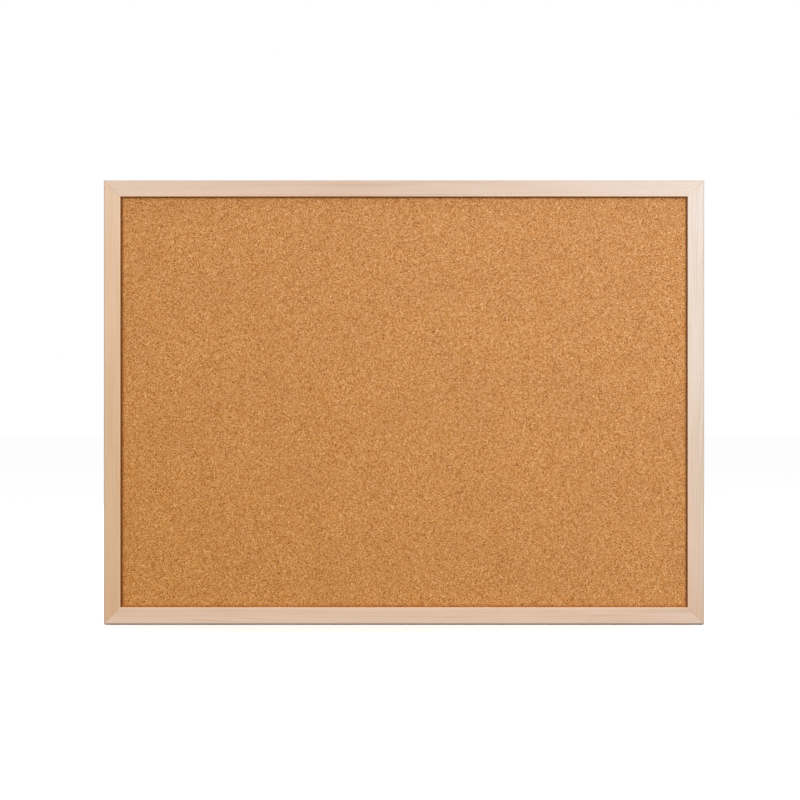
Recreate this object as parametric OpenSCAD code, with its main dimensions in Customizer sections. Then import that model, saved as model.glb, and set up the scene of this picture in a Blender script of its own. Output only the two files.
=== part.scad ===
// A framed cork bulletin board that hangs on a wall from two D-rings.
// +X is to the right, +Z is up and the cork faces -Y. The origin is the centre of the
// wall plane, the plane that the four rubber bumpers on the back stand against.

/* [Board] */
// Outer width of the frame
board_w = 584.2; // [400:0.1:900]
// Outer height of the frame
board_h = 431.8; // [300:0.1:700]

/* [Frame moulding] */
// Width of the moulding's face, seen from the front
face_w = 16; // [16:0.5:30]
// Depth of the moulding from front to back
frame_d = 16; // [15:0.5:25]
// How far the front lip laps over the cork
lip_w = 5; // [3:0.5:5]
// Thickness of the front lip
lip_t = 3.5; // [2.5:0.1:4]
// Radius of the eased edges
ease_r = 0.8; // [0.3:0.1:1.2]

/* [Panel] */
// Thickness of the cork sheet
cork_t = 3; // [1:0.1:3.5]
// Thickness of the softboard core
core_t = 5.5; // [3:0.1:5.5]
// Thickness of the hardboard back
hardboard_t = 2; // [1.5:0.1:2.5]
// Space between the panel's edge and the rebate wall
panel_gap = 1; // [0.5:0.1:1.5]

/* [Corner V-nails] */
// Length of each leg
vnail_leg = 4.5; // [3:0.1:5]
// Thickness of the steel
vnail_t = 0.5; // [0.3:0.1:0.6]
// Height, driven in from the back
vnail_h = 10; // [6:0.5:12]
// Distance of the outer nail's apex from the two outer edges
vnail_first = 1.8; // [1.5:0.1:2]
// Step from the outer nail's apex to the inner nail's apex
vnail_step = 3.6; // [2.5:0.1:4]

/* [Retaining points] */
// Width of a point
point_w = 8; // [5:0.5:10]
// Thickness of a point
point_t = 0.5; // [0.3:0.1:0.7]
// How far a point is driven into the rebate wall
point_bite = 6; // [4:0.5:7]
// How far a point reaches over the hardboard
point_reach = 8; // [5:0.5:12]
// Points along the top, and as many along the bottom
points_long = 4; // [2:1:6]
// Points up each side
points_short = 3; // [1:2:3]

/* [Hangers] */
// Distance of the ring's axis below the frame's top edge
hanger_drop = 70; // [40:1:90]
// Distance of the strap's middle from the frame's side
hanger_in = 6.75; // [6.6:0.05:7]
// Width of the folded strap
strap_w = 7.5; // [6:0.1:7.5]
// Thickness of the strap's sheet steel
sheet_t = 0.5; // [0.4:0.05:0.5]
// Diameter of the ring's wire
wire_d = 1.5; // [1.3:0.1:1.5]
// Clearance all round the wire inside the strap's loop
wire_play = 0.05; // [0.05:0.01:0.1]
// Width of the ring's eye
ring_eye_w = 9.8; // [9.8:0.1:10.5]
// Length of the ring's straight legs, with their bends
ring_leg = 3; // [2:0.1:3]
// Angle that the hanging ring leans away from the board
ring_lean = 5; // [5:0.1:6]

/* [Hanger screws] */
// Distance of the screw below the ring's axis
screw_drop = 13.6; // [13:0.1:16]
// Diameter of the pan head
head_d = 5.8; // [5:0.1:6]
// Height of the pan head
head_h = 1.7; // [1.2:0.1:1.7]
// Length under the head
screw_len = 10; // [8:0.5:12]
// Diameter over the thread
thread_d = 2.9; // [2.5:0.1:3]
// Distance between threads
thread_pitch = 1.1; // [0.9:0.1:1.3]

/* [Bumpers] */
// Diameter of a bumper
bumper_d = 10; // [8:0.5:10]
// Height of a bumper, which holds the frame off the wall
bumper_h = 3.2; // [3.2:0.1:5]
// Distance of a bumper's middle from the frame's side
bumper_in = 27; // [22:1:60]
// Radius of a bumper's rounded rim
bumper_round = 1.2; // [0.5:0.1:1.5]

/* [Hidden] */
$fn = 48;

// Planes from the wall forwards, as Y values
frame_back_y = -bumper_h;
frame_front_y = frame_back_y - frame_d;
cork_front_y = frame_front_y + lip_t;
core_front_y = cork_front_y + cork_t;
hardboard_front_y = core_front_y + core_t;
hardboard_back_y = hardboard_front_y + hardboard_t;

// The back land is what is left of the moulding's width beside the rebate
land_w = face_w - lip_w;
panel_w = board_w - 2 * (land_w + panel_gap);
panel_h = board_h - 2 * (land_w + panel_gap);
point_pitch_long = board_w / points_long;
point_pitch_short = board_h / (points_short + 1);
point_tip = 3;

// Folded strap and its ring
strap_t = 2 * sheet_t;
loop_r = wire_d / 2 + wire_play;
loop_outer_r = loop_r + sheet_t;
ring_axis_x = board_w / 2 - hanger_in;
ring_axis_y = frame_back_y + loop_outer_r;
ring_axis_z = board_h / 2 - hanger_drop;
ring_r = (ring_eye_w + wire_d) / 2;
ring_bend_r = wire_d;

// Screws
strap_face_y = frame_back_y + strap_t;
strap_hole_r = thread_d / 2 + 0.15;
pilot_r = thread_d / 2 + 0.05;
pilot_depth = screw_len - strap_t + 0.5;
core_r = thread_d / 2 - 0.4;
screw_point = 3;
thread_count = floor((screw_len - screw_point - thread_pitch) / thread_pitch);
recess_w = 0.8;
recess_span = 3.2;
recess_depth = 1;

// Reach of a cutting solid past the surface that it cuts
over = 1;

// ---- Frame ----

// Section through the moulding in the Y-Z plane, with its outer edge at z = 0
module moulding_section() {
    difference() {
        translate([frame_front_y, -face_w]) square([frame_d, face_w]);
        translate([cork_front_y, -face_w - over]) square([frame_d, lip_w + over]);
        translate([frame_front_y, 0]) rotate(-90) eased_edge();
        translate([frame_front_y, -face_w]) eased_edge();
        translate([frame_back_y, 0]) rotate(180) eased_edge();
    }
}

// What easing takes off a corner at the origin whose material is towards +X and +Y
module eased_edge() {
    difference() {
        translate([-over, -over]) square(ease_r + over);
        translate([ease_r, ease_r]) circle(ease_r);
        translate([ease_r, -over]) square(ease_r + 2 * over);
        translate([-over, ease_r]) square(ease_r + 2 * over);
    }
}

// A mitred length of moulding along X, with its outer edge at z = out
module mitred_length(length, out) {
    intersection() {
        translate([-length / 2, 0, out]) rotate([90, 0, 90])
            linear_extrude(length) moulding_section();
        rotate([90, 0, 0]) linear_extrude(-frame_front_y + over)
            polygon([
                [-length / 2, out], [length / 2, out],
                [length / 2 - face_w, out - face_w], [face_w - length / 2, out - face_w]
            ]);
    }
}

// A rail turned about the board's centre, with the slots that its fasteners are driven into
module frame_member(turn, length, out) {
    difference() {
        rotate([0, turn, 0]) mitred_length(length, out);
        v_nail_group();
        point_group();
        for (side = [-1, 1]) pilot_hole(side);
    }
}

module top_rail() {
    color("burlywood") frame_member(0, board_w, board_h / 2);
}

module bottom_rail() {
    color("burlywood") frame_member(180, board_w, board_h / 2);
}

module left_stile() {
    color("tan") frame_member(-90, board_h, board_w / 2);
}

module right_stile() {
    color("wheat") frame_member(90, board_h, board_w / 2);
}

// ---- Panel ----

// A flat layer of the panel between two Y planes
module panel_layer(front_y, thickness) {
    translate([-panel_w / 2, front_y, -panel_h / 2]) cube([panel_w, thickness, panel_h]);
}

module cork_sheet() {
    color("peru") panel_layer(cork_front_y, cork_t);
}

module softboard_core() {
    color("antiquewhite") panel_layer(core_front_y, core_t);
}

module hardboard_back() {
    color("sienna") panel_layer(hardboard_front_y, hardboard_t);
}

// ---- Fasteners in the frame ----

// One V-nail, driven flush from the back, with its apex on the Y axis and legs along +X and +Z
module v_nail() {
    translate([0, frame_back_y, 0]) rotate([90, 0, 0]) linear_extrude(vnail_h)
        polygon([
            [0, 0], [vnail_leg, 0], [vnail_leg, vnail_t],
            [vnail_t, vnail_t], [vnail_t, vnail_leg], [0, vnail_leg]
        ]);
}

// Two V-nails in each corner, pointing at the frame's outer corner
module v_nail_group() {
    for (flip_x = [0, 180], flip_z = [0, 180], step = [0, 1]) {
        apex = vnail_first + step * vnail_step;
        in_corner(flip_x != 0, flip_z != 0)
            translate([apex - board_w / 2, 0, apex - board_h / 2]) v_nail();
    }
}

// Moves what is drawn for the lower left corner to another corner
module in_corner(right, upper) {
    if (right && upper) rotate([0, 180, 0]) children();
    else if (right) mirror([1, 0, 0]) children();
    else if (upper) mirror([0, 0, 1]) children();
    else children();
}

module corner_v_nails() {
    color("silver") v_nail_group();
}

// One retaining point on the hardboard, driven towards +Z into a rebate wall at z = 0
module retaining_point() {
    translate([0, hardboard_back_y + point_t, 0]) rotate([90, 0, 0]) linear_extrude(point_t)
        polygon([
            [-point_w / 2, -point_reach], [point_w / 2, -point_reach],
            [point_w / 2, point_bite - point_tip], [0, point_bite],
            [-point_w / 2, point_bite - point_tip]
        ]);
}

// A row of retaining points along one side of the rebate
module point_row(turn, out, count, pitch) {
    for (i = [0 : count - 1])
        rotate([0, turn, 0]) translate([(i - (count - 1) / 2) * pitch, 0, out - land_w])
            retaining_point();
}

module point_group() {
    for (turn = [0, 180]) point_row(turn, board_h / 2, points_long, point_pitch_long);
    for (turn = [90, -90]) point_row(turn, board_w / 2, points_short, point_pitch_short);
}

module retaining_points() {
    color("silver") point_group();
}

// ---- Hangers ----

// A strap folded round the ring's wire, screwed to the back of a stile
module hanger_strap(side) {
    translate([side * ring_axis_x, 0, ring_axis_z]) difference() {
        intersection() {
            translate([-strap_w / 2, 0, 0]) rotate([90, 0, 90])
                linear_extrude(strap_w) strap_section();
            rotate([90, 0, 0]) linear_extrude(frame_d) strap_outline();
        }
        translate([0, over, -screw_drop]) rotate([90, 0, 0]) cylinder(h = frame_d, r = strap_hole_r);
    }
}

// The doubled strap and its loop, in the Y-Z plane with the ring's axis at z = 0
module strap_section() {
    strap_end = screw_drop + strap_w;
    difference() {
        union() {
            translate([ring_axis_y, 0]) circle(loop_outer_r);
            translate([frame_back_y, -strap_end]) square([strap_t, strap_end]);
        }
        translate([ring_axis_y, 0]) circle(loop_r);
    }
}

// The strap seen from the back, with an end that is round about the screw
module strap_outline() {
    translate([-strap_w / 2, -screw_drop]) square([strap_w, screw_drop + loop_outer_r + over]);
    translate([0, -screw_drop]) circle(strap_w / 2);
}

module left_hanger_strap() {
    color("gainsboro") hanger_strap(-1);
}

module right_hanger_strap() {
    color("gainsboro") hanger_strap(1);
}

// A D-ring of round wire, hanging from the loop and leaning clear of the strap
module hanger_ring(side) {
    bar_half = ring_r - ring_bend_r;
    translate([side * ring_axis_x, ring_axis_y, ring_axis_z]) rotate([ring_lean, 0, 0]) {
        translate([-bar_half, 0, 0]) rotate([0, 90, 0]) cylinder(h = 2 * bar_half, d = wire_d);
        for (flip = [0, 1]) mirror([flip, 0, 0]) {
            translate([bar_half, 0, -ring_bend_r]) rotate([90, 0, 0]) wire_arc(ring_bend_r, 0, 90);
            translate([ring_r, 0, -ring_leg]) cylinder(h = ring_leg - ring_bend_r, d = wire_d);
        }
        translate([0, 0, -ring_leg]) rotate([90, 0, 0]) wire_arc(ring_r, 180, 180);
    }
}

// Round wire bent to a radius, from a start angle through a sweep
module wire_arc(radius, start, sweep) {
    rotate([0, 0, start]) rotate_extrude(angle = sweep) translate([radius, 0]) circle(d = wire_d);
}

module left_hanger_ring() {
    color("silver") hanger_ring(-1);
}

module right_hanger_ring() {
    color("silver") hanger_ring(1);
}

// Moves a shape drawn along +Z to a screw's axis, with z = 0 on the strap and +Z to the wall
module on_screw_axis(side) {
    translate([side * ring_axis_x, strap_face_y, ring_axis_z - screw_drop])
        rotate([-90, 0, 0]) children();
}

// A pan-head wood screw with a cross recess
module hanger_screw() {
    ridges = [for (i = [0 : thread_count - 1], step = [0, 1, 2])
        [step == 1 ? thread_d / 2 : core_r, -screw_len + screw_point + (i + step / 3) * thread_pitch]];
    difference() {
        union() {
            rotate_extrude() polygon(concat([[0, -screw_len]], ridges, [[core_r, 0], [0, 0]]));
            rotate_extrude() pan_head_section();
        }
        for (turn = [0, 90]) rotate([0, 0, turn])
            translate([-recess_span / 2, -recess_w / 2, head_h - recess_depth])
                cube([recess_span, recess_w, recess_depth + over]);
    }
}

// Half of the pan head's section, with a rounded rim
module pan_head_section() {
    rim = head_h * 0.6;
    square([head_d / 2 - rim, head_h]);
    square([head_d / 2, head_h - rim]);
    translate([head_d / 2 - rim, head_h - rim]) intersection() {
        circle(rim);
        square(rim);
    }
}

module hanger_screws() {
    color("silver") for (side = [-1, 1]) on_screw_axis(side) hanger_screw();
}

// The hole that a hanger screw cuts in the wood
module pilot_hole(side) {
    on_screw_axis(side) translate([0, 0, -strap_t - pilot_depth])
        cylinder(h = pilot_depth + over, r = pilot_r);
}

// ---- Bumpers ----

// A rubber bumper on the back land, standing from the frame to the wall
module bumper(side_x, side_z) {
    rim_r = bumper_d / 2 - bumper_round;
    translate([side_x * (board_w / 2 - bumper_in), 0, side_z * (board_h - land_w) / 2])
        rotate([90, 0, 0]) rotate_extrude() {
            translate([0, bumper_round]) square([bumper_d / 2, bumper_h - bumper_round]);
            square([rim_r, bumper_h]);
            translate([rim_r, bumper_round]) circle(bumper_round);
        }
}

module bumper_top_left() {
    color("whitesmoke") bumper(-1, 1);
}

module bumper_top_right() {
    color("whitesmoke") bumper(1, 1);
}

module bumper_bottom_left() {
    color("whitesmoke") bumper(-1, -1);
}

module bumper_bottom_right() {
    color("whitesmoke") bumper(1, -1);
}

top_rail();
bottom_rail();
left_stile();
right_stile();
cork_sheet();
softboard_core();
hardboard_back();
corner_v_nails();
retaining_points();
left_hanger_strap();
right_hanger_strap();
left_hanger_ring();
right_hanger_ring();
hanger_screws();
bumper_top_left();
bumper_top_right();
bumper_bottom_left();
bumper_bottom_right();
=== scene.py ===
"""A framed cork bulletin board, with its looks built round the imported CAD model.

Lengths are in metres, but grain, granules and scratches are drawn in millimetres. Colours are linear.
"""

import math
import random

import bmesh
import bpy
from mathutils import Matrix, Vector


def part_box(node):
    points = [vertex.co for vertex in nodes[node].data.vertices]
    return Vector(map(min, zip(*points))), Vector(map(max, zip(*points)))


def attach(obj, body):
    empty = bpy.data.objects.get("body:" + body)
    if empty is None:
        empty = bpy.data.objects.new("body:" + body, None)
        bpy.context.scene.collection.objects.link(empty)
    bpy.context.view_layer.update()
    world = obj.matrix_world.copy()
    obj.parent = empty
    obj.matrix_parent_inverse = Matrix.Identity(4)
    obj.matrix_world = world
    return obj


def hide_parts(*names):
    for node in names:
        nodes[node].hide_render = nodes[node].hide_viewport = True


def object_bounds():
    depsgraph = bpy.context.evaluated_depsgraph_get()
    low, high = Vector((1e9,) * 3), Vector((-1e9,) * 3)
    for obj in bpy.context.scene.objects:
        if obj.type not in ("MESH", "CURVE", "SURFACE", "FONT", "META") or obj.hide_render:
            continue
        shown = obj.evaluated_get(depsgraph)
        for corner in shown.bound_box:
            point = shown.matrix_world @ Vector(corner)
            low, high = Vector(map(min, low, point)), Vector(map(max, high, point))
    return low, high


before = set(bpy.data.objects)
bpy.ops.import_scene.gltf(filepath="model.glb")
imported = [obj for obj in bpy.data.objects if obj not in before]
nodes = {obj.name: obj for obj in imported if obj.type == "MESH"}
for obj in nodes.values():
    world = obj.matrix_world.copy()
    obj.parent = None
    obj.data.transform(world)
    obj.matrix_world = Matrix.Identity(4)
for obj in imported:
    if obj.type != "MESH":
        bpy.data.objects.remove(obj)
cad_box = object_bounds()

MM = 0.001
MM_IN_METRE = 1000.0

low, high = (Vector(corner) for corner in cad_box)
board_w, board_h = high.x - low.x, high.z - low.z
rail_low, rail_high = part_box("top_rail")
face_w = rail_high.z - rail_low.z
cork_low, cork_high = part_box("cork_sheet")


# ---- Camera ----

SENSOR = 36.0
LENS = 110.0
VIEW_WIDTH = 0.7783  # width of the view in the plane of the frame's face
VIEW_CENTRE = Vector((-0.0039, 0.0, 0.0020))  # the board lies a little right of it and below


def make_camera():
    """A camera square-on to the board's face, far enough away to show almost no perspective."""
    data = bpy.data.cameras.new("camera")
    data.lens = LENS
    data.sensor_width = SENSOR
    camera = bpy.data.objects.new("camera", data)
    bpy.context.scene.collection.objects.link(camera)
    distance = VIEW_WIDTH * LENS / SENSOR
    camera.location = (VIEW_CENTRE.x, rail_low.y - distance, VIEW_CENTRE.z)
    camera.rotation_euler = (math.radians(90), 0, 0)
    bpy.context.scene.camera = camera


make_camera()


# ---- Node helpers ----

UNIT = (0.0, 1.0)

# Ranges of a noise: nearly all of its values, and most of them
NOISE_SPAN = (0.3, 0.7)
NOISE_CORE = (0.35, 0.65)

PICK_EDGE = 0.005  # the step in a cell's random value from not picked to picked


class Tree:
    """A short way to write the nodes of a material or a world."""

    def __init__(self, owner, shader="Principled BSDF"):
        self.owner = owner
        owner.use_nodes = True
        self.nodes = owner.node_tree.nodes
        self.links = owner.node_tree.links
        self.shader = self.nodes[shader]

    def add(self, kind, inputs=None, **settings):
        """A new node with its properties set, and its inputs set or linked."""
        node = self.nodes.new(kind)
        for key, value in settings.items():
            setattr(node, key, value)
        for key, value in (inputs or {}).items():
            self.put(node.inputs[key], value)
        return node

    def put(self, socket, value):
        """Links the socket if value is another socket, and sets it otherwise."""
        if isinstance(value, bpy.types.NodeSocket):
            self.links.new(value, socket)
        else:
            socket.default_value = value

    def position(self):
        """The place of a point in the board's frame, in metres."""
        return self.add("ShaderNodeTexCoord").outputs["Object"]

    def place_in_mm(self):
        return self.scaled(self.position(), (MM_IN_METRE,) * 3)

    def scaled(self, vector, scale):
        return self.add("ShaderNodeMapping", {"Vector": vector, "Scale": scale}).outputs["Vector"]

    def noise(self, vector, scale=1.0, detail=2.0, roughness=0.5, distortion=0.0):
        node = self.add("ShaderNodeTexNoise", {
            "Vector": vector, "Scale": scale, "Detail": detail,
            "Roughness": roughness, "Distortion": distortion,
        })
        return node.outputs["Fac"]

    def cells(self, vector, scale, feature="F1"):
        node = self.add("ShaderNodeTexVoronoi", {"Vector": vector, "Scale": scale}, feature=feature)
        return node.outputs

    def math(self, operation, *values):
        node = self.add("ShaderNodeMath", operation=operation)
        for socket, value in zip(node.inputs, values):
            self.put(socket, value)
        return node.outputs["Value"]

    def total(self, *parts):
        """The sum of values, each with its weight."""
        result = None
        for value, weight in parts:
            part = self.math("MULTIPLY", value, weight)
            result = part if result is None else self.math("ADD", result, part)
        return result

    def remap(self, value, given, wanted=UNIT, smooth=False):
        """Carries the given range over to the wanted one, and holds its ends beyond."""
        node = self.add("ShaderNodeMapRange", {
            "Value": value, "From Min": given[0], "From Max": given[1],
            "To Min": wanted[0], "To Max": wanted[1],
        }, interpolation_type="SMOOTHSTEP" if smooth else "LINEAR")
        return node.outputs["Result"]

    def mix(self, factor, a, b, mode="MIX"):
        node = self.add("ShaderNodeMix", data_type="RGBA", blend_type=mode)
        first, second = (socket for socket in node.inputs if socket.type == "RGBA")
        self.put(node.inputs["Factor"], factor)
        self.put(first, a)
        self.put(second, b)
        return next(socket for socket in node.outputs if socket.type == "RGBA")

    def over(self, base, value, given, strength, colour, within=None):
        """The base with a colour laid over it, and only where within is high if that is given.

        The colour grows from none to strength as the value goes through the given range.
        """
        factor = self.remap(value, given, (0.0, strength))
        if within is not None:
            factor = self.math("MULTIPLY", factor, within)
        return self.mix(factor, base, colour)

    def tinted(self, colour, tint):
        return self.mix(1.0, colour, tint, mode="MULTIPLY")

    def ramp(self, value, stops):
        node = self.add("ShaderNodeValToRGB", {"Fac": value})
        elements = node.color_ramp.elements
        for at, _ in stops[1:-1]:
            elements.new(at)
        for element, (at, colour) in zip(elements, stops):
            element.position = at
            element.color = colour
        return node.outputs["Color"]

    def axes(self, vector):
        node = self.add("ShaderNodeSeparateXYZ", {"Vector": vector})
        return node.outputs["X"], node.outputs["Y"], node.outputs["Z"]

    def vector(self, x, y, z):
        return self.add("ShaderNodeCombineXYZ", {"X": x, "Y": y, "Z": z}).outputs["Vector"]

    def bump(self, height, distance, strength=1.0):
        node = self.add("ShaderNodeBump", {"Height": height, "Distance": distance, "Strength": strength})
        return node.outputs["Normal"]

    def finish(self, **sockets):
        """Sets the shader's sockets: Base_Color is written for Base Color."""
        for key, value in sockets.items():
            self.put(self.shader.inputs[key.replace("_", " ")], value)
        return self.owner


def new_material(name):
    return Tree(bpy.data.materials.new(name))


def rgb(red, green, blue):
    return (red, green, blue, 1.0)


def highest(share):
    """The range of random values that picks out the top share of the cells."""
    return (1 - share, 1 - share + PICK_EDGE)


def lowest(share):
    """The range of random values that picks out the bottom share of the cells."""
    return (share, share - PICK_EDGE)


def paint(obj, material):
    obj.data.materials.clear()
    obj.data.materials.append(material)


# ---- Wood ----

# Each member's tones, the tint of the painted highlight along its inner arris, and how its grain lies.
# The tones run from 0 at its left or bottom end to 1 at its right or top end. Besides the wood's own
# tone they carry painted light: paler and whiter towards the board's upper right as painted sheen, and
# darker down the left stile as painted shade.
WOODS = {
    "top_rail": {
        "tones_and_painted_light": [
            (0.0, rgb(0.700, 0.552, 0.430)), (0.42, rgb(0.630, 0.460, 0.348)),
            (1.0, rgb(0.652, 0.562, 0.485)),
        ],
        "arris_highlight_tint": rgb(1.34, 1.05, 0.78), "along": "X", "seed": 1.0,
    },
    "bottom_rail": {
        "tones_and_painted_light": [
            (0.0, rgb(0.742, 0.538, 0.400)), (0.50, rgb(0.720, 0.523, 0.397)),
            (1.0, rgb(0.700, 0.512, 0.395)),
        ],
        "arris_highlight_tint": rgb(1.11, 0.98, 0.86), "along": "X", "seed": 2.0,
    },
    "left_stile": {
        "tones_and_painted_light": [
            (0.0, rgb(0.655, 0.435, 0.254)), (0.50, rgb(0.680, 0.463, 0.288)),
            (1.0, rgb(0.725, 0.527, 0.368)),
        ],
        "arris_highlight_tint": rgb(1.19, 1.06, 0.92), "along": "Z", "seed": 3.0,
    },
    "right_stile": {
        "tones_and_painted_light": [
            (0.0, rgb(0.640, 0.452, 0.325)), (0.55, rgb(0.688, 0.580, 0.490)),
            (1.0, rgb(0.690, 0.602, 0.545)),
        ],
        "arris_highlight_tint": rgb(1.25, 1.13, 0.98), "along": "Z", "seed": 4.0,
    },
}
STRETCH = 731.0  # millimetres of board from one member's grain to the next one's

# Noise periods to the millimetre, along the grain and across it
FIBRE = (0.05, 2.4)
PORE = (0.22, 4.5)
STREAK = (0.022, 0.9)
BLOTCH = (0.010, 0.09)
TONE = (0.0035, 0.02)
WANDER = (0.004, 0.05)

# Growth rings: periods to the millimetre each way, how many periods they wander by,
# and what sets one member's rings apart from another's
RINGS_ALONG = 0.0025
RINGS_ACROSS = 0.80
RINGS_DEEP = 0.35
RING_SWAY = 14.0
RING_SEED = 3.1

# Values of the noise between which late growth and pores come in
LATE_BAND = (0.50, 0.62)
PORE_BAND = (0.64, 0.74)

# Tints that multiply the wood's colour, and how strongly each mark shows
LATE_GROWTH = rgb(0.78, 0.71, 0.62)
PORE_TINT = rgb(0.60, 0.50, 0.42)
YELLOWER = rgb(0.93, 0.90, 0.81)
PALER = rgb(1.05, 1.07, 1.10)
PINKER = rgb(1.02, 0.94, 0.91)
LATE_SHOWS = 0.65
FIBRE_SHOWS = 0.40
PORE_SHOWS = 0.30
STREAK_SHOWS = 0.8
BLOTCH_SHOWS = 0.5
TONE_SHOWS = 0.6

# The glue line of a mitre: how far along a member it starts to fade and is gone,
# between what strengths it varies, and in how many patches to the millimetre
SEAM_REACH = (0.08 * MM, 0.36 * MM)
SEAM_SHOWS = (0.15, 0.70)
SEAM_PATCHES = 0.35
GLUE_BROWN = rgb(0.20, 0.11, 0.06)

# How far from the outer arris the painted shade starts to fade and is gone, how far from the inner
# one the painted highlight starts and is full, and between what shares the fibre lets both show
OUTER_REACH = (0.3 * MM, 2.0 * MM)
OUTER_SHADE_STRENGTH = 0.50
OUTER_ARRIS_SHADE = rgb(0.36, 0.31, 0.28)
INNER_REACH = (1.4 * MM, 0.6 * MM)
INNER_HIGHLIGHT = 0.9
ARRIS_PATCHINESS = (0.6, 1.0)

# How much of the relief each mark makes
WOOD_RELIEF = 0.04 * MM
FIBRE_HEIGHT = 0.6
PORE_HEIGHT = -0.8
LATE_HEIGHT = -0.25

WOOD_ROUGHNESS = (0.42, 0.58)
LACQUER = {"Specular_IOR_Level": 0.5, "Coat_Weight": 0.35, "Coat_Roughness": 0.42}


def figure(tree, grain, periods, **settings):
    """Noise drawn out along the grain."""
    along, across = periods
    return tree.noise(tree.scaled(grain, (along, across, across)), **settings)


def growth_rings(tree, grain, seed):
    """Where the darker late growth lies, in thin uneven lines that wander slowly."""
    u, v, w = tree.axes(grain)
    wander = figure(tree, grain, WANDER)
    across = tree.total((wander, RING_SWAY), (v, RINGS_ACROSS), (w, RINGS_DEEP))
    along = tree.math("MULTIPLY", u, RINGS_ALONG)
    rings = tree.noise(tree.vector(along, across, seed * RING_SEED), detail=3.0)
    return tree.remap(rings, LATE_BAND, smooth=True)


def wood_colour(tree, grain, light, late, fibre, pore):
    """The light colour of the wood, painted sheen and shade included, with its rings, fibre, streaks,
    blotches and pores.
    """
    streak = figure(tree, grain, STREAK)
    blotch = figure(tree, grain, BLOTCH)
    tone = figure(tree, grain, TONE, detail=1.0)
    dark = tree.tinted(light, LATE_GROWTH)
    base = tree.over(light, late, UNIT, LATE_SHOWS, dark)
    base = tree.over(base, fibre, NOISE_SPAN, FIBRE_SHOWS, dark)
    base = tree.over(base, streak, NOISE_CORE, STREAK_SHOWS, tree.tinted(base, YELLOWER))
    base = tree.over(base, blotch, NOISE_CORE, BLOTCH_SHOWS, tree.tinted(light, PALER))
    base = tree.over(base, tone, NOISE_CORE, TONE_SHOWS, tree.tinted(light, PINKER))
    return tree.over(base, pore, UNIT, PORE_SHOWS, tree.tinted(dark, PORE_TINT))


def with_seam(tree, base, grain, far_x, far_z):
    """Adds the glue line of the mitre, on the planes where rails and stiles meet."""
    off = tree.math("ABSOLUTE", tree.math("SUBTRACT", far_x, far_z))
    seam = tree.remap(off, SEAM_REACH, (1.0, 0.0), smooth=True)
    uneven = tree.remap(tree.noise(grain, scale=SEAM_PATCHES), NOISE_CORE, SEAM_SHOWS)
    return tree.mix(tree.math("MULTIPLY", seam, uneven), base, GLUE_BROWN)


def with_arrises(tree, base, y, edge, fibre, arris_highlight_tint):
    """Adds painted shade along the outer arris, greyer, and a painted highlight along the inner one,
    warmer.
    """
    patchy = tree.remap(fibre, NOISE_SPAN, ARRIS_PATCHINESS)
    from_front = tree.math("SUBTRACT", y, rail_low.y)
    from_back = tree.math("SUBTRACT", rail_high.y, y)
    arris = tree.math("MAXIMUM", edge, tree.math("MINIMUM", from_front, from_back))
    # painted shade: the outer arris greyer, as where it turns from the light
    outer = tree.remap(arris, OUTER_REACH, (OUTER_SHADE_STRENGTH, 0.0), smooth=True)
    base = tree.mix(tree.math("MULTIPLY", outer, patchy), base, OUTER_ARRIS_SHADE)
    start, full = (face_w - reach for reach in INNER_REACH)
    # painted highlight: the inner arris lighter and warmer
    inner = tree.remap(edge, (start, full), (0.0, INNER_HIGHLIGHT), smooth=True)
    return tree.mix(tree.math("MULTIPLY", inner, patchy), base, tree.tinted(base, arris_highlight_tint))


def wood(name, tones_and_painted_light, arris_highlight_tint, along, seed):
    """Pale straight-grained wood under a thin matt lacquer, its grain along one axis."""
    tree = new_material(name)
    x, y, z = tree.axes(tree.position())
    length, across = (x, z) if along == "X" else (z, x)
    half = board_w / 2 if along == "X" else board_h / 2
    u = tree.math("MULTIPLY_ADD", length, MM_IN_METRE, seed * STRETCH)
    v = tree.math("MULTIPLY", across, MM_IN_METRE)
    w = tree.math("MULTIPLY", y, MM_IN_METRE)
    grain = tree.vector(u, v, w)

    late = growth_rings(tree, grain, seed)
    fibre = figure(tree, grain, FIBRE, detail=3.0, roughness=0.6)
    pore = tree.remap(figure(tree, grain, PORE, detail=1.0), PORE_BAND, smooth=True)
    # the member's tone along its length, with painted sheen and painted shade in it
    light = tree.ramp(tree.remap(length, (-half, half)), tones_and_painted_light)
    base = wood_colour(tree, grain, light, late, fibre, pore)

    # the distance in from the frame's sides, and from its top and bottom
    far_x = tree.math("SUBTRACT", board_w / 2, tree.math("ABSOLUTE", x))
    far_z = tree.math("SUBTRACT", board_h / 2, tree.math("ABSOLUTE", z))
    base = with_seam(tree, base, grain, far_x, far_z)
    base = with_arrises(tree, base, y, tree.math("MINIMUM", far_x, far_z), fibre, arris_highlight_tint)

    height = tree.total((fibre, FIBRE_HEIGHT), (pore, PORE_HEIGHT), (late, LATE_HEIGHT))
    normal = tree.bump(height, WOOD_RELIEF, strength=0.6)
    rough = tree.remap(fibre, NOISE_SPAN, WOOD_ROUGHNESS)
    return tree.finish(Base_Color=base, Roughness=rough, Normal=normal, **LACQUER)


# ---- Cork material ----

# Cells to the millimetre
GRANULES = 1.55
FINE_GRAINS = 2.6
FLAKES = 0.82

GRANULE_SHADES = [
    (0.0, rgb(0.340, 0.095, 0.014)), (0.15, rgb(0.520, 0.183, 0.028)),
    (0.40, rgb(0.677, 0.286, 0.063)), (0.70, rgb(0.795, 0.385, 0.117)),
    (0.90, rgb(0.887, 0.476, 0.178)), (1.0, rgb(0.940, 0.556, 0.241)),
]

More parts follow.
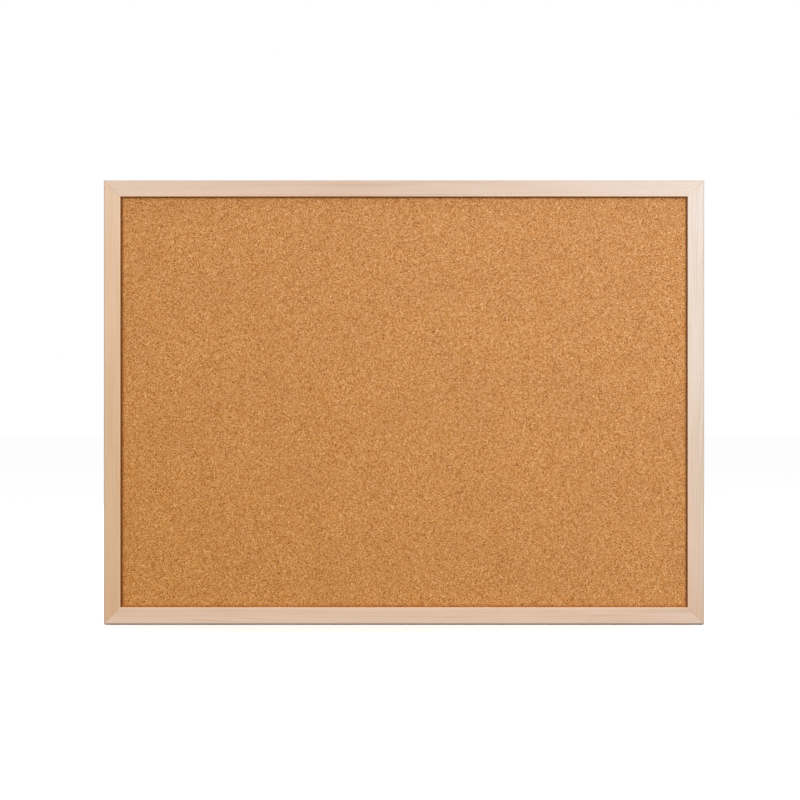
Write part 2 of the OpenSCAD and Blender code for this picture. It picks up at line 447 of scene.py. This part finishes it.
# Layers over the granules' own shades: the range of values that each comes in through,
# how strongly it shows and its colour. Joints go by the distance from a granule's edge.
CREAM = rgb(0.98, 0.68, 0.30)
FINE_LAYER = (UNIT, 0.45, rgb(0.405, 0.137, 0.019))
JOINT_LAYER = ((0.12, 0.0), 0.55, rgb(0.225, 0.072, 0.014))
BARK_LAYER = (highest(0.060), 0.90, rgb(0.205, 0.056, 0.010))
CHIP_LAYER = (lowest(0.035), 0.5, CREAM)
DARK_FLAKE_LAYER = (highest(0.040), 0.95, rgb(0.12, 0.026, 0.002))
LIGHT_FLAKE_LAYER = (lowest(0.025), 0.65, CREAM)
PATCH_LAYER = (NOISE_CORE, 0.12, rgb(0.40, 0.17, 0.055))

FLAKE_RIM = (0.42, 0.50)  # in cells, how far from its middle a flake starts to fade and ends
# Painted sheen: the tint that pales and cools the cork, growing along the slope towards its upper right
SHEEN_TINT = rgb(1.0, 1.06, 1.33)
SHEEN_SLOPE = (-0.8, 0.8)  # from near the lower left corner to near the upper right one

# Painted shade on the cork along the frame's lip: how far it reaches and how dark it is, on each side.
LIP_SHADE_BY_SIDE = {
    "left": (4.5 * MM, 0.92),
    "right": (3.6 * MM, 0.88),
    "bottom": (4.2 * MM, 0.48),
    "top": (3.0 * MM, 0.55),
}
LIP_SHADE_COLOUR = rgb(0.13, 0.028, 0.0)

# How much of the bump each thing makes
CORK_BUMP = 0.12 * MM
DOME_HEIGHT = 1.0
CRUMB_HEIGHT = 0.6
GRANULE_HEIGHT = 0.6
DOME_REACH = (0.0, 0.25)  # in cells, from a granule's edge to its flat top

CORK_ROUGHNESS = (0.46, 0.62)


def painted_lip_shade(tree):
    """How much painted shade a point of the cork takes along the frame's lip, from 0 to 1."""
    x, _, z = tree.axes(tree.position())
    half_w, half_h = board_w / 2 - face_w, board_h / 2 - face_w
    from_side = {
        "left": tree.math("ADD", x, half_w),
        "right": tree.math("SUBTRACT", half_w, x),
        "bottom": tree.math("ADD", z, half_h),
        "top": tree.math("SUBTRACT", half_h, z),
    }
    strongest_shade = 0.0
    for side, (reach, darkness) in LIP_SHADE_BY_SIDE.items():
        here = tree.remap(from_side[side], (0.0, reach), (darkness, 0.0), smooth=True)
        strongest_shade = tree.math("MAXIMUM", here, strongest_shade)
    return strongest_shade


def painted_sheen(tree):
    """How much painted sheen pales a point of the cork, more towards its upper right, from 0 to 1."""
    x, _, z = tree.axes(tree.position())
    slope = tree.math("ADD", tree.math("DIVIDE", x, board_w), tree.math("DIVIDE", z, board_h))
    return tree.remap(slope, SHEEN_SLOPE)


def shaken(tree, place):
    """The place in millimetres, moved a little by noise, so that no granule has straight sides."""
    jitter = tree.noise(place, scale=0.9)
    moved = tree.add("ShaderNodeVectorMath", operation="ADD")
    tree.put(moved.inputs[0], place)
    tree.put(moved.inputs[1], tree.vector(jitter, jitter, jitter))
    return moved.outputs["Vector"]


def cork():
    """Fine pressed cork: granules in many browns, dark specks of bark and light chips, with painted
    sheen towards the upper right and painted shade along the frame's lip.
    """
    tree = new_material("cork")
    place = shaken(tree, tree.place_in_mm())
    shade, _, speck = tree.axes(tree.cells(place, GRANULES)["Color"])
    edge = tree.cells(place, GRANULES, feature="DISTANCE_TO_EDGE")["Distance"]
    fine, _, _ = tree.axes(tree.cells(place, FINE_GRAINS)["Color"])
    flake = tree.cells(place, FLAKES)
    flake_shade, _, _ = tree.axes(flake["Color"])
    flake_body = tree.remap(flake["Distance"], FLAKE_RIM, (1.0, 0.0), smooth=True)
    patch = tree.noise(place, scale=0.02, detail=3.0)

    base = tree.ramp(shade, GRANULE_SHADES)
    base = tree.over(base, fine, *FINE_LAYER)
    base = tree.over(base, edge, *JOINT_LAYER)
    base = tree.over(base, speck, *BARK_LAYER)
    base = tree.over(base, speck, *CHIP_LAYER)
    base = tree.over(base, flake_shade, *DARK_FLAKE_LAYER, within=flake_body)
    base = tree.over(base, flake_shade, *LIGHT_FLAKE_LAYER, within=flake_body)
    base = tree.over(base, patch, *PATCH_LAYER)
    # painted sheen, paler and bluer towards the upper right
    base = tree.mix(painted_sheen(tree), base, tree.tinted(base, SHEEN_TINT))
    # painted shade along the frame's lip
    base = tree.mix(painted_lip_shade(tree), base, LIP_SHADE_COLOUR)

    crumb = tree.noise(place, scale=3.0, detail=3.0)
    dome = tree.remap(edge, DOME_REACH)
    height = tree.total((dome, DOME_HEIGHT), (crumb, CRUMB_HEIGHT), (shade, GRANULE_HEIGHT))
    normal = tree.bump(height, CORK_BUMP, strength=0.8)
    rough = tree.remap(shade, UNIT, CORK_ROUGHNESS)
    return tree.finish(Base_Color=base, Roughness=rough, Normal=normal, Specular_IOR_Level=0.10)


# ---- Panel materials ----

SCREEN_PITCH = 1.6  # millimetres from wire to wire of the screen that hardboard is pressed on

HARDBOARD_SHADES = [
    (0.0, rgb(0.10, 0.048, 0.022)), (0.42, rgb(0.27, 0.145, 0.072)),
    (0.58, rgb(0.36, 0.205, 0.110)), (1.0, rgb(0.60, 0.42, 0.26)),
]

# Layers over the fibres' own shades, as in the cork. The screen's hollows are at -1.
SCREEN_LAYER = ((1.0, -1.0), 0.30, rgb(0.13, 0.062, 0.03))
CLOUD_LAYER = (NOISE_CORE, 0.22, rgb(0.22, 0.112, 0.055))
DARK_SHIVE_LAYER = ((0.60, 0.68), 0.55, rgb(0.14, 0.066, 0.032))
LIGHT_SHIVE_LAYER = ((0.36, 0.30), 0.45, rgb(0.55, 0.36, 0.21))

HARDBOARD_BUMP = 0.15 * MM
WEAVE_HEIGHT = 0.5
FIBRES_HEIGHT = 0.6
HARDBOARD_ROUGHNESS = (0.65, 0.85)

SOFTBOARD_SHADES = [
    (0.0, rgb(0.33, 0.23, 0.13)), (0.5, rgb(0.58, 0.46, 0.30)), (1.0, rgb(0.80, 0.70, 0.52)),
]
SOFTBOARD_BUMP = 0.3 * MM


def hardboard():
    """Brown hardboard, its back pressed with the pattern of a wire screen."""
    tree = new_material("hardboard")
    place = tree.place_in_mm()
    x, _, z = tree.axes(place)
    turn = 2 * math.pi / SCREEN_PITCH
    wave_x = tree.math("SINE", tree.math("MULTIPLY", x, turn))
    wave_z = tree.math("SINE", tree.math("MULTIPLY", z, turn))
    weave = tree.math("MULTIPLY", wave_x, wave_z)
    fibres = tree.noise(place, scale=1.6, detail=5.0, roughness=0.7, distortion=0.8)
    cloud = tree.noise(place, scale=0.05, detail=4.0)
    shives = tree.noise(place, scale=0.55, detail=3.0, distortion=1.5)

    base = tree.ramp(fibres, HARDBOARD_SHADES)
    base = tree.over(base, weave, *SCREEN_LAYER)
    base = tree.over(base, cloud, *CLOUD_LAYER)
    base = tree.over(base, shives, *DARK_SHIVE_LAYER)
    base = tree.over(base, shives, *LIGHT_SHIVE_LAYER)

    height = tree.total((weave, WEAVE_HEIGHT), (fibres, FIBRES_HEIGHT))
    normal = tree.bump(height, HARDBOARD_BUMP, strength=0.8)
    rough = tree.remap(fibres, NOISE_SPAN, HARDBOARD_ROUGHNESS)
    return tree.finish(Base_Color=base, Roughness=rough, Normal=normal)


def softboard():
    """Raw wood-fibre softboard, seen only in the gap round the panel's edge."""
    tree = new_material("softboard")
    fibres = tree.noise(tree.place_in_mm(), scale=0.8, detail=6.0, roughness=0.75, distortion=1.2)
    base = tree.ramp(fibres, SOFTBOARD_SHADES)
    return tree.finish(Base_Color=base, Roughness=0.92, Normal=tree.bump(fibres, SOFTBOARD_BUMP))


# ---- Steel and rubber ----

# Each plated steel: its bright and dull colours, its roughness and the nodes made of it
STEELS = {
    "nail_steel": {
        "bright": rgb(0.50, 0.50, 0.49), "dull": rgb(0.30, 0.29, 0.27), "rough": 0.34,
        "pieces": ["corner_v_nails"],
    },
    "point_steel": {
        "bright": rgb(0.66, 0.67, 0.69), "dull": rgb(0.46, 0.47, 0.49), "rough": 0.30,
        "pieces": ["retaining_points"],
    },
    "strap_steel": {
        "bright": rgb(0.76, 0.74, 0.70), "dull": rgb(0.60, 0.58, 0.54), "rough": 0.20,
        "pieces": ["left_hanger_strap", "right_hanger_strap"],
    },
    "ring_steel": {
        "bright": rgb(0.78, 0.76, 0.72), "dull": rgb(0.62, 0.60, 0.56), "rough": 0.14,
        "pieces": ["left_hanger_ring", "right_hanger_ring"],
    },
    "screw_steel": {
        "bright": rgb(0.70, 0.71, 0.73), "dull": rgb(0.50, 0.51, 0.53), "rough": 0.24,
        "pieces": ["hanger_screws"],
    },
}

# Scratches: periods to the millimetre along each axis, the values of the noise between which
# they dull the colour and roughen the surface, how strongly they do, and how deep they are
SCRATCHES = (9.0, 9.0, 0.7)
SCRATCH_DULLS = (0.58, 0.75)
SCRATCH_SHOWS = 0.35
SCRATCH_ROUGHENS = (0.5, 0.75)
SCRATCH_ROUGHER = 0.12
SCRATCH_DEPTH = 0.01 * MM
DULL_ROUGHER = 0.14  # how much rougher the dull patches are

BUMPERS = ["bumper_top_left", "bumper_top_right", "bumper_bottom_left", "bumper_bottom_right"]
RUBBER_GREY = rgb(0.52, 0.52, 0.50)
LINT = rgb(0.60, 0.59, 0.57)
RUBBER_ROUGHNESS = (0.38, 0.60)
LINT_RELIEF = 0.03 * MM
RUBBER_GLOW = {"Subsurface_Weight": 0.15, "Subsurface_Scale": 2 * MM}


def steel(name, bright, dull, rough):
    """Plated steel: a bright colour with duller patches, fine scratches and handling marks."""
    tree = new_material(name)
    place = tree.place_in_mm()
    cloud = tree.noise(place, scale=0.45, detail=3.0)
    scratch = tree.noise(tree.scaled(place, SCRATCHES))
    base = tree.mix(tree.remap(cloud, NOISE_SPAN), bright, dull)
    base = tree.over(base, scratch, SCRATCH_DULLS, SCRATCH_SHOWS, dull)
    clouded = tree.remap(cloud, NOISE_SPAN, (rough, rough + DULL_ROUGHER))
    scratched = tree.remap(scratch, SCRATCH_ROUGHENS, (0.0, SCRATCH_ROUGHER))
    roughness = tree.math("ADD", clouded, scratched)
    normal = tree.bump(scratch, SCRATCH_DEPTH, strength=0.5)
    return tree.finish(Base_Color=base, Roughness=roughness, Metallic=1.0, Normal=normal)


def rubber():
    """Soft pale rubber with a dusting of lint."""
    tree = new_material("rubber")
    dust = tree.noise(tree.place_in_mm(), scale=1.8, detail=5.0, roughness=0.7)
    base = tree.mix(tree.remap(dust, NOISE_CORE), RUBBER_GREY, LINT)
    rough = tree.remap(dust, NOISE_SPAN, RUBBER_ROUGHNESS)
    normal = tree.bump(dust, LINT_RELIEF)
    return tree.finish(Base_Color=base, Roughness=rough, Normal=normal, **RUBBER_GLOW)


# ---- CAD nodes ----

BEVELS = {
    "top_rail": 0.12 * MM,
    "bottom_rail": 0.12 * MM,
    "left_stile": 0.12 * MM,
    "right_stile": 0.12 * MM,
    "hardboard_back": 0.25 * MM,
    "softboard_core": 0.40 * MM,
    "retaining_points": 0.10 * MM,
}
SHARP = math.radians(35)


def soften_edges(obj, width):
    """A tiny bevel on every sharp edge, so that it catches the light."""
    bevel = obj.modifiers.new("soft_edges", "BEVEL")
    bevel.width = width
    bevel.segments = 1
    bevel.limit_method = "ANGLE"
    bevel.angle_limit = SHARP
    bevel.use_clamp_overlap = True


def finish_cad_nodes():
    """Gives every CAD node that stays its material, and some of them a tiny bevel."""
    for name, looks in WOODS.items():
        paint(nodes[name], wood(name + "_wood", **looks))
    paint(nodes["hardboard_back"], hardboard())
    paint(nodes["softboard_core"], softboard())
    for name, looks in STEELS.items():
        metal = steel(name, looks["bright"], looks["dull"], looks["rough"])
        for piece in looks["pieces"]:
            paint(nodes[piece], metal)
    soft = rubber()
    for name in BUMPERS:
        paint(nodes[name], soft)
    for name, width in BEVELS.items():
        soften_edges(nodes[name], width)


# ---- Cork sheet ----

CORK_STEP = 1.65 * MM
CORK_RELIEF = 0.06 * MM
CORK_SEED = 7


def cork_face(mesh):
    """Rows of points over the cork's face, each pushed in by a random part of the relief."""
    size = cork_high - cork_low
    columns = round(size.x / CORK_STEP)
    rows = round(size.z / CORK_STEP)
    face = []
    for row in range(rows + 1):
        z = cork_low.z + size.z * row / rows
        line = []
        for column in range(columns + 1):
            x = cork_low.x + size.x * column / columns
            line.append(mesh.verts.new((x, cork_low.y + random.random() * CORK_RELIEF, z)))
        face.append(line)
    return face


def cork_slab():
    """A closed slab whose face has the unevenness of pressed granules."""
    random.seed(CORK_SEED)
    mesh = bmesh.new()
    face = cork_face(mesh)
    for below, above in zip(face, face[1:]):
        for i in range(len(below) - 1):
            mesh.faces.new((below[i], below[i + 1], above[i + 1], above[i]))
    # once round the face's edge, then the sides and the flat back
    rim = face[0] + [line[-1] for line in face[1:]]
    rim += list(reversed(face[-1][:-1])) + [line[0] for line in reversed(face[1:-1])]
    behind = [mesh.verts.new((point.co.x, cork_high.y, point.co.z)) for point in rim]
    for i in range(len(rim)):
        j = (i + 1) % len(rim)
        mesh.faces.new((rim[j], rim[i], behind[i], behind[j]))
    mesh.faces.new(behind)
    bmesh.ops.recalc_face_normals(mesh, faces=mesh.faces)
    data = bpy.data.meshes.new("cork_sheet_relief")
    mesh.to_mesh(data)
    mesh.free()
    return data


def make_cork():
    """The cork sheet with its fine relief, in place of the plain CAD one."""
    piece = bpy.data.objects.new("cork_sheet_relief", cork_slab())
    bpy.context.scene.collection.objects.link(piece)
    paint(piece, cork())
    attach(piece, "board")
    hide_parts("cork_sheet")


# ---- Stage and light ----

FLOOR_GAP = 1.0 * MM
FLOOR_REACH = 12.0
FLOOR_WHITE = rgb(0.90, 0.90, 0.90)

FILL = 0.36  # strength of the fill light at the horizon and below
SKY = 1.45  # what is added to it at the zenith
SKY_CURVE = 2.0  # power of the height by which it grows

SOFTBOXES = {
    "key": {"place": (-1.5, -1.9, 0.9), "target": (0, 0, 0), "side": 0.35, "power": 12.0},
    "window": {"place": (0.85, -1.5, 0.75), "target": (0.1, 0, 0.1), "side": 0.7, "power": 21.0},
    "back": {"place": (-1.0, 1.9, 1.1), "target": (0, 0, 0), "side": 0.9, "power": 30.0},
}


def make_stage():
    """A plain white floor a hair under the board. It takes shadows but throws no light back up."""
    level = low.z - FLOOR_GAP
    signs = ((-1, -1), (1, -1), (1, 1), (-1, 1))
    corners = [(x * FLOOR_REACH, y * FLOOR_REACH, level) for x, y in signs]
    data = bpy.data.meshes.new("floor")
    data.from_pydata(corners, [], [(0, 1, 2, 3)])
    floor = bpy.data.objects.new("floor", data)
    bpy.context.scene.collection.objects.link(floor)
    tree = new_material("floor_white")
    paint(floor, tree.finish(Base_Color=FLOOR_WHITE, Roughness=0.9, Specular_IOR_Level=0.0))
    floor.visible_diffuse = False
    floor.visible_glossy = False


def softbox(name, place, target, side, power):
    """A square lamp at a place, turned to a target."""
    data = bpy.data.lights.new(name, "AREA")
    data.shape = "RECTANGLE"
    data.size = side
    data.size_y = side
    data.energy = power
    lamp = bpy.data.objects.new(name, data)
    lamp.location = place
    lamp.rotation_euler = (Vector(target) - Vector(place)).to_track_quat("-Z", "Y").to_euler()
    bpy.context.scene.collection.objects.link(lamp)


def make_world():
    """Even fill light that grows towards the zenith, behind which the camera sees plain white."""
    tree = Tree(bpy.data.worlds.new("white_room"), "Background")
    _, _, rise = tree.axes(tree.add("ShaderNodeTexCoord").outputs["Generated"])
    height = tree.math("POWER", tree.math("MAXIMUM", rise, 0.0), SKY_CURVE)
    light = tree.remap(height, UNIT, (FILL, FILL + SKY))
    seen = tree.add("ShaderNodeLightPath").outputs["Is Camera Ray"]
    strength = tree.remap(seen, UNIT, (light, 1.0))
    bpy.context.scene.world = tree.finish(Color=rgb(1.0, 1.0, 1.0), Strength=strength)


def make_lights():
    """The fill light and the lamps, seen without any tone curve."""
    make_world()
    for name, settings in SOFTBOXES.items():
        softbox(name, **settings)
    bpy.context.scene.view_settings.view_transform = "Standard"


finish_cad_nodes()
make_cork()
make_stage()
make_lights()
